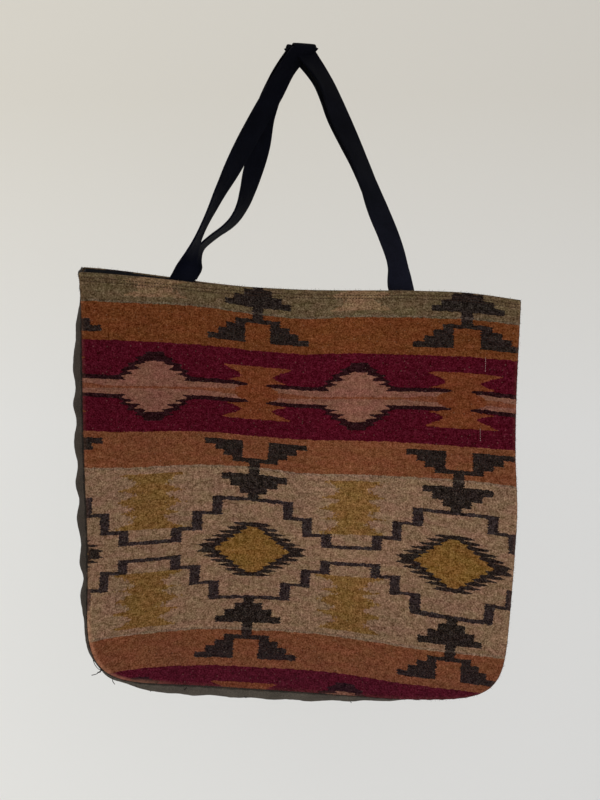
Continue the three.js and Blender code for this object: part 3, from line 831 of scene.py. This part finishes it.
# Each end: where it leaves the strip, seen from in front, its place in the depth, and its run from there in
# millimetres to the right, to the front and up
LOOSE_ENDS = (
    (-0.2, -0.643, 0.06, ((0, 0, 0), (-3, 1, 0.5), (-6, 2, -0.5), (-8.5, 2, -3.5), (-14, 1, -4.5))),
    (-0.203, -0.645, 0.1, ((0, 0, 0), (-4, 1.5, 0), (-8, 2, 4), (-10.5, 1.5, 9), (-11, 1, 11))),
    (-0.2, -0.644, 0.05, ((0, 0, 0), (-2, 2.5, 3), (-5, 3, 2), (-4, 2.5, -2), (-8, 2, -1.5))),
    (-0.193, -0.651, 0.2, ((0, 0, 0), (-0.5, 1, -2.5), (0.6, 1.5, -5), (2.2, 1, -7))),
    (-0.171, -0.661, 0.2, ((0, 0, 0), (0.6, 0.8, -1.6), (1.6, 1, -2.4))),
    (-0.157, -0.664, 0.3, ((0, 0, 0), (0.3, 0.5, -1.5), (1.1, 0.8, -2.6))),
    (-0.121, -0.664, 0.12, ((0, 0, 0), (1.2, 2.5, 2.2), (3.4, 3, 1.4), (2.4, 2.5, -1.2), (0.8, 2, -1.6))),
    (-0.0585, -0.674, 0.3, ((0, 0, 0), (0.4, 0.8, -1.8), (1.6, 1, -2.4), (2.6, 0.8, -1.8))),
    (0.052, -0.676, 0.3, ((0, 0, 0), (-0.3, 0.6, -1.8), (0.5, 0.8, -3.2))),
)
thread_curve = bpy.data.curves.new("loose_ends", "CURVE")
thread_curve.dimensions = "3D"
thread_curve.bevel_depth = LOOSE_END
thread_curve.bevel_resolution = 1
thread_curve.use_fill_caps = True
thread_curve.resolution_u = 6
for x, z, across, run in LOOSE_ENDS:
    strip = [gusset_point(station, across) for station in seam]
    foot = min(strip, key=lambda point: (point.x - x) ** 2 + (point.z - z) ** 2)
    end = thread_curve.splines.new("NURBS")
    end.points.add(len(run) - 1)
    for point, (right, forward, up) in zip(end.points, run):
        point.co = (*(foot + Vector((right, -forward, up)) / 1000), 1.0)
    end.use_endpoint_u = True
    end.order_u = 3
loose_ends = bpy.data.objects.new("loose_ends", thread_curve)
bpy.context.scene.collection.objects.link(loose_ends)
loose_ends.data.materials.append(seam_thread)
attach(loose_ends, "root")


# Bare warp. Near the right side the weft has slipped in two places on the front, and a pale warp thread shows
# there as a short line of dots across the maroon.
WARP_DOTS = 0.00028
WARP_PITCH = 0.0019
WARP_LINES = ((0.1912, 0.0632, 8), (0.1856, 0.1362, 7))
warp_thread = thread_material("pale_warp", (0.3, 0.2, 0.19))
warp_rows = []
for x, start, dots in WARP_LINES:
    warp_rows.append([])
    for k in range(dots + 1):
        d = start + WARP_PITCH * k
        y = face_y(FRONT, x, d, -side_x(d), 1.0)[0] + FRONT * THREAD_PROUD
        warp_rows[-1].append(place(x, y, d))
sew("bare_warp", warp_rows, warp_thread, WARP_DOTS)


# Nap. Short loose fibres of the felted wool stand off both panels, along the folded mouth and round the sewn
# edges. They are part of the cloth, raised when it was felted and by use.
NAP_FIBRES = 1100
NAP_ROOT = 0.00008
NAP_TIP = 0.00004
NAP_SHORTEST = 0.0009
NAP_SPREAD = 0.002
NAP_LEAN = 0.5
NAP_SET = 0.0003


def wool_nap(name, side):
    draw = Random(40 + side)
    bm = bmesh.new()
    cloth = bm.loops.layers.uv.new("cloth")
    fibres = []
    for k in range(NAP_FIBRES):
        if k % 3:
            at, along, _ = seam[int(draw.random() * len(seam))]
            x, d = at
            outwards = Vector((-along.y, 0.3 * side, -along.x))
            root = place(x, side * (HALF_DEPTH - 0.6 * WOOL), d)
        else:
            x, d = RIM_HALF * (2 * draw.random() - 1), NAP_SET
            outwards = Vector((0, 0.2 * side, 1))
            rim = panel_y(side, x / (2 * RIM_HALF) + 0.5, d)
            root = place(x, rim - side * WOOL * (0.3 + 0.6 * draw.random()), d)
        lean = Vector([draw.gauss(0, NAP_LEAN) for axis in range(3)])
        run = (outwards + lean).normalized() * (NAP_SHORTEST + NAP_SPREAD * draw.random() ** 2)
        stand = Matrix.Translation(root + run / 2) @ run.to_track_quat("Z", "Y").to_matrix().to_4x4()
        made = bmesh.ops.create_cone(
            bm, cap_ends=True, segments=3, radius1=NAP_ROOT, radius2=NAP_TIP, depth=run.length, matrix=stand)
        fibres.append((made["verts"], cloth_place(side, x, d)))
    for verts, where in fibres:
        for loop in (loop for vert in verts for loop in vert.link_loops):
            loop[cloth].uv = where
    nap = new_piece(name, bm)
    nap.data.materials.append(wool)
    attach(nap, "root")


wool_nap("wool_nap_front", FRONT)
wool_nap("wool_nap_back", BACK)


# Lining. A black plain-weave bag inside the wool, sewn in level with the mouth. It keeps clear of the hem and
# steps in behind the ends of the straps.
LINING = 0.0007
LINING_DROP = 0.0008
LINING_EASE = 0.0008
LINING_SLACK = 0.0012
PUCKER_ROOM = 0.0013
SIDE_CLEAR = SEAM_INSET + TWILL + PUCKER_ROOM + LINING_EASE
STRAP = 0.002
STRAP_WIDTH = 0.025
STRAP_SPREAD = 0.226
STRAP_OFFSET = -0.0085
STRAP_EASE = RIM_HALF / 10
TAIL_LENGTH = 0.03
LINING_TOP_ROWS = (LINING_DROP, 0.004, 0.008, 0.014, 0.022, 0.03, 0.038, 0.046, 0.06)
LINING_ROWS = 36
LINING_CORNER_ROWS = 16
LINING_FLOOR_ROWS = 6
LINING_ROUND = 220
LINING_TURN = 0.04
LINING_GIRTH = 0.97
LINING_ROW = 0.008


def lining_y(side, x, u, d):
    """The lining beside a panel: clear of the hem and of the straps' ends, and slack further down."""
    away = min(abs(x - STRAP_OFFSET - leg * STRAP_SPREAD / 2) for leg in (-1, 1)) - STRAP_WIDTH / 2
    behind = (1 - smooth(away, STRAP_EASE, 2 * STRAP_EASE)) * (1 - smooth(d, TAIL_LENGTH, 2 * TAIL_LENGTH))
    waves = noise.noise(Vector((x * 22, d * 14, 5.0 * side))) - 1
    slack = LINING_SLACK * waves * smooth(d, 0.03, 0.1)
    return panel_y(side, u, d) - side * (2 * WOOL + LINING_EASE + (STRAP + GAP) * behind - slack)


lining_depths = list(LINING_TOP_ROWS)
lining_top = lining_depths[-1]
lining_depths += [lining_top + (CORNER_TOP - lining_top) * k / LINING_ROWS for k in range(1, LINING_ROWS + 1)]
lining_edge = [(side_x(d), d, 1.0) for d in lining_depths]
lining_corner = corner_points(LINING_CORNER_ROWS + 1)
for before, here in zip(lining_corner, lining_corner[1:]):
    lining_edge.append((here.x, here.y, (here - before).normalized().y))


def lining_shape(column, row):
    edge_x, d, square = lining_edge[min(row, len(lining_edge) - 1)]
    floor_share = max(row - len(lining_edge) + 1, 0) / LINING_FLOOR_ROWS
    turn = (column / LINING_ROUND) % 1.0
    side = FRONT if turn < 0.5 else BACK
    lap = 2 * turn if side == FRONT else 2 - 2 * turn
    u = min(max((lap - LINING_TURN) / (1 - 2 * LINING_TURN), 0.0), 1.0)
    near = lining_y(side, edge_x * (1 - 2 * u), u, d)
    y = near * min(lap / LINING_TURN, (1 - lap) / LINING_TURN, 1.0) * (1 - floor_share)
    ends = []
    for mirror in (1, -1):
        out = puff(mirror * edge_x, y, d) - SIDE_CLEAR
        ends.append((mirror * (edge_x - square * out), d + math.sqrt(1 - square * square) * out))
    x = ends[0][0] + (ends[1][0] - ends[0][0]) * u
    depth = ends[0][1] + (ends[1][1] - ends[0][1]) * u
    if row >= len(lining_edge) - 1:
        depth = HEIGHT + puff(x, y, HEIGHT) - SIDE_CLEAR
    return place(x, y, depth), (column / LINING_ROUND * LINING_GIRTH, row * LINING_ROW)


lining_rows = len(lining_edge) - 1 + LINING_FLOOR_ROWS
lining = sheet_mesh("black_lining", LINING_ROUND, lining_rows, lining_shape, "bag")
lining_bm = bmesh.new()
lining_bm.from_mesh(lining.data)
bmesh.ops.remove_doubles(lining_bm, verts=lining_bm.verts, dist=0.00005)
bmesh.ops.recalc_face_normals(lining_bm, faces=lining_bm.faces)
lining_bm.to_mesh(lining.data)
lining_bm.free()
thicken(lining, LINING, -1.0)
lining_cloth = cloth_material(
    "black_lining_cloth", "bag", (0.006, 0.006, 0.0075), pitch=0.0006, angle=0, depth=0.0001, fade=0.2,
    roughness=0.75, sheen=0.02,
)
lining.data.materials.append(lining_cloth)
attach(lining, "root")
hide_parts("lining")


# Handles. Two flat black straps, folded over at the top where the bag is hung up, with both ends caught
# between the hem and the lining. Each leg bows out of its straight line and turns out of the front plane.
FOLD_RADIUS = 0.0025
FOLD_SPACING = 0.012
TOP_TURN = math.radians(30)
HANDLE_BOW = 0.006
LEG_STEPS = 90
LEG_CROWDING = 1.5
TAIL_SHARES = (1.0, 0.8, 0.6, 0.4, 0.2)
FOLD_STEPS = 16
STRAP_COLUMNS = 12
COLUMN_SPREAD = 0.8
STRAP_CURL = 0.0004
STRAP_RIPPLE = 0.0003
STRAP_EDGE = 0.0007
# Each leg: shares of its height, its bow to the right there in millimetres, and its turn there in degrees
LEGS = {
    (FRONT, -1): (
        (0, 0.03, 0.09, 0.14, 0.2, 0.27, 0.34, 0.48, 0.6, 0.78, 0.92, 1),
        (-1.3, -1.6, -4.6, -6.2, -7.2, -8, -8.7, -9, -9.5, -8.2, -6.6, 0),
        (0, 8, 50, 68, 78, 76, 69, 48, 40, 38, 46, 30),
    ),
    (FRONT, 1): (
        (0, 0.03, 0.1, 0.22, 0.32, 0.5, 0.7, 0.86, 1),
        (0, 1.5, 6, 8.8, 8.4, 11.3, 9.4, 9.6, 0),
        (0, 8, 36, 34, 36, 48, 36, 48, 30),
    ),
    (BACK, -1): (
        (0, 0.03, 0.08, 0.14, 0.19, 0.225, 0.26, 0.32, 0.39, 0.45, 0.57, 0.72, 0.88, 1),
        (-1.3, -0.6, 0.9, 1.2, 9.0, 16.6, 20.8, 22.4, 19.6, 16.2, 9.5, -2.6, -6.0, 0),
        (0, 12, 60, 78, 76, 73, 71, 65, 55, 44, 34, 32, 40, 30),
    ),
    (BACK, 1): (
        (0, 0.03, 0.1, 0.22, 0.5, 0.7, 0.86, 1),
        (0, 1.5, 8, 12.5, 14.5, 11.8, 10.6, 0),
        (0, 8, 30, 30, 40, 33, 48, 30),
    ),
}


def strap_y(side, x, d):
    hem_face = panel_y(side, x / (2 * RIM_HALF) + 0.5, d) - side * (2 * WOOL + GAP)
    return hem_face - side * (STRAP + GAP) / 2


def handle_stations(side):
    """The strap's middle line from one tail over the fold to the other, with the turn of each section."""
    across_fold = Vector((-math.sin(TOP_TURN), math.cos(TOP_TURN), 0))
    bend = FOLD_RADIUS + STRAP / 2
    fold = across_fold * (side * FOLD_SPACING / 2) + Vector((0, 0, -FOLD_RADIUS))
    legs = []
    for end in (-1, 1):
        heights, bows, turns = LEGS[side, end]
        x = STRAP_OFFSET + end * STRAP_SPREAD / 2
        tilt = math.atan2(strap_y(side, x + 0.001, 0) - strap_y(side, x - 0.001, 0), 0.002)
        base = place(x, strap_y(side, x, 0), 0)
        top = fold + across_fold * (end * bend)
        tail = [TAIL_LENGTH * share for share in TAIL_SHARES]
        leg = [(place(x, strap_y(side, x, d), d), tilt) for d in tail]
        for k in range(LEG_STEPS + 1):
            h = (k / LEG_STEPS) ** LEG_CROWDING
            middle = base.lerp(top, h)
            middle.x += through(heights, bows, h) / 1000
            middle.y += side * HANDLE_BOW * math.sin(math.pi * h)
            leg.append((middle, math.radians(through(heights, turns, h)) + tilt * (1 - h)))
        legs.append(leg)
    over = []
    for k in range(1, FOLD_STEPS):
        angle = math.pi * k / FOLD_STEPS
        rise = Vector((0, 0, bend * math.sin(angle)))
        over.append((fold - across_fold * (bend * math.cos(angle)) + rise, TOP_TURN))
    return legs[0] + over + legs[1][::-1]


def handle(name, side):
    stations = handle_stations(side)
    runs = [0.0]
    for before, here in zip(stations, stations[1:]):
        runs.append(runs[-1] + (here[0] - before[0]).length)

    def strap_shape(column, row):
        middle, turn = stations[row]
        before = stations[max(row - 1, 0)][0]
        after = stations[min(row + 1, len(stations) - 1)][0]
        along = (after - before).normalized()
        level = Vector((math.cos(turn), math.sin(turn), 0))
        normal = along.cross(level)
        half = STRAP_WIDTH / 2 / normal.length
        across = 2 * column / STRAP_COLUMNS - 1
        across = math.copysign(abs(across) ** COLUMN_SPREAD, across)
        curl = STRAP_CURL * (1 - across * across) * math.sin(runs[row] * 21 + side)
        ripple = STRAP_RIPPLE * noise.noise(Vector((runs[row] * 60, across * 1.5, 9.0 * side)))
        point = middle + level * (half * across) + normal.normalized() * (curl + ripple)
        return point, (across * STRAP_WIDTH / 2, runs[row])

    strap = sheet_mesh(name, STRAP_COLUMNS, len(stations) - 1, strap_shape, "strap")
    thicken(strap, STRAP, 0.0)
    soft_edge = strap.modifiers.new("soft_edge", "BEVEL")
    soft_edge.width = STRAP_EDGE
    soft_edge.segments = 2
    soft_edge.limit_method = "ANGLE"
    return strap


# Painted sheen: the black is painted a little bluer near the left end, and paler and bluer down the right leg
# to its end
STRAP_PAINTED_SHEEN = [
    (0.0, (1.1, 1.2, 1.6)), (0.1, (1.1, 1.4, 2.2)), (0.25, (1.0, 1.15, 1.5)), (0.5, (0.9, 1.0, 1.2)),
    (0.66, (1.5, 1.6, 1.6)), (0.8, (2.2, 2.4, 2.6)), (0.9, (3.4, 3.6, 4.2)), (1.0, (3.2, 3.2, 4.2)),
]
STRAP_RUN = 0.66
strap_cloth = cloth_material(
    "black_strap", "strap", (0.0019, 0.0019, 0.0031), pitch=0.0012, angle=0, depth=0.00015, fade=0.25,
    roughness=0.6, sheen=0.004, gloss=0.02,
)
# Painted sheen along the strap's run, paler and bluer towards the right end
tint(strap_cloth, "strap", "Y", STRAP_RUN, STRAP_PAINTED_SHEEN)
for name, side, node in (("strap_front", FRONT, "handle_front"), ("strap_back", BACK, "handle_back")):
    strap = handle(name, side)
    strap.data.materials.append(strap_cloth)
    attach(strap, "root")
    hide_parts(node)


# Wall, floor, light and camera. A pale wall stands behind the bag on a pale floor, each painted only on the
# side that faces the bag, and each shows the camera and reflections a glow with painted light in it. Soft
# light comes from in front and behind, and the view is straight on.
FLOOR_Z = -1.4
WALL_Y = 0.4
WALL_HALF = 3.0
FLOOR_HALF = 30.0
WALL_COLOUR = (0.74, 0.725, 0.69)
WALL_GLOW = 0.75
# Painted light in the glow: paler low down and towards the left, darker and warmer higher up, darker and a
# little bluer to the right
WALL_PAINTED_LIGHT_UP = [(0.0, (0.77, 0.77, 0.755)), (0.4, (0.76, 0.76, 0.745)), (0.8, (0.65, 0.62, 0.555))]
WALL_PAINTED_LIGHT_ACROSS = [(0.15, (1.08, 1.08, 1.07)), (0.85, (0.93, 0.935, 0.95))]
wall_paint, wall_nodes = new_material("wall_paint")
wall_shader = wall_nodes["Principled BSDF"]
wire(wall_shader, {"Base Color": (*WALL_COLOUR, 1), "Roughness": 0.9})
wall_place = wall_nodes.new("ShaderNodeSeparateXYZ")
feed(wall_place.inputs[0], wall_nodes.new("ShaderNodeTexCoord").outputs["Object"])
# The glow's painted light changes up the wall and along it
up_the_wall = ramp(wall_nodes, calc(wall_nodes, "ADD", wall_place.outputs["Z"], 0.8), WALL_PAINTED_LIGHT_UP)
along_the_wall = ramp(wall_nodes, calc(wall_nodes, "ADD", wall_place.outputs["X"], 0.5), WALL_PAINTED_LIGHT_ACROSS)
wall_light = blend_colour(wall_nodes, 1.0, up_the_wall, along_the_wall, "MULTIPLY")
glow = shader_node(wall_nodes, "Emission", {"Color": wall_light})
seen = wall_nodes.new("ShaderNodeLightPath").outputs
through_gloss = calc(wall_nodes, "MAXIMUM", seen["Is Glossy Ray"], seen["Is Transmission Ray"])
looked_at = calc(wall_nodes, "MAXIMUM", seen["Is Camera Ray"], through_gloss)
glow_share = calc(wall_nodes, "MULTIPLY", looked_at, WALL_GLOW)
lit = shader_node(wall_nodes, "MixShader", {0: glow_share, 1: wall_shader.outputs["BSDF"], 2: glow})
from_behind = wall_nodes.new("ShaderNodeNewGeometry").outputs["Backfacing"]
clear = wall_nodes.new("ShaderNodeBsdfTransparent").outputs["BSDF"]
sides = shader_node(wall_nodes, "MixShader", {0: from_behind, 1: lit, 2: clear})
feed(wall_nodes["Material Output"].inputs["Surface"], sides)
for name, half, lean, centre in (
    ("wall", WALL_HALF, 90, (0, WALL_Y, FLOOR_Z + WALL_HALF)), ("floor", FLOOR_HALF, 0, (0, 0, FLOOR_Z)),
):
    stage_bm = bmesh.new()
    upright = Matrix.Translation(centre) @ Matrix.Rotation(math.radians(lean), 4, "X")
    bmesh.ops.create_grid(stage_bm, x_segments=2, y_segments=2, size=half, matrix=upright)
    surface = new_piece(name, stage_bm)
    surface.data.materials.append(wall_paint)

world = bpy.data.worlds.new("studio")
bpy.context.scene.world = world
world.use_nodes = True
wire(world.node_tree.nodes["Background"], {"Color": (1.0, 0.99, 0.97, 1), "Strength": 0.77})

LIT_SPOT = Vector((0, 0, -0.4))
LAMPS = (("soft_window", 0.8, 4.7, (0.3, -1.1, -0.12)), ("soft_fill", 1.2, 14, (-0.5, 1.9, 0.0)))
for name, size, watts, stand in LAMPS:
    lamp = bpy.data.lights.new(name, "AREA")
    lamp.size = size
    lamp.energy = watts
    light = bpy.data.objects.new(name, lamp)
    light.location = stand
    light.rotation_euler = (LIT_SPOT - light.location).to_track_quat("-Z", "Y").to_euler()
    bpy.context.scene.collection.objects.link(light)

SENSOR = 36.0
VIEW_DISTANCE = 2.5
VIEW_WIDTH = 0.618
VIEW_X = -0.001
VIEW_Z = -0.3677
camera_data = bpy.data.cameras.new("camera")
camera_data.sensor_fit = "HORIZONTAL"
camera_data.sensor_width = SENSOR
camera_data.lens = SENSOR * VIEW_DISTANCE / VIEW_WIDTH
camera = bpy.data.objects.new("camera", camera_data)
camera.location = (VIEW_X, -HALF_DEPTH - VIEW_DISTANCE, VIEW_Z)
camera.rotation_euler = (math.radians(90), 0, 0)
bpy.context.scene.collection.objects.link(camera)
bpy.context.scene.camera = camera
bpy.context.scene.view_settings.view_transform = "Standard"
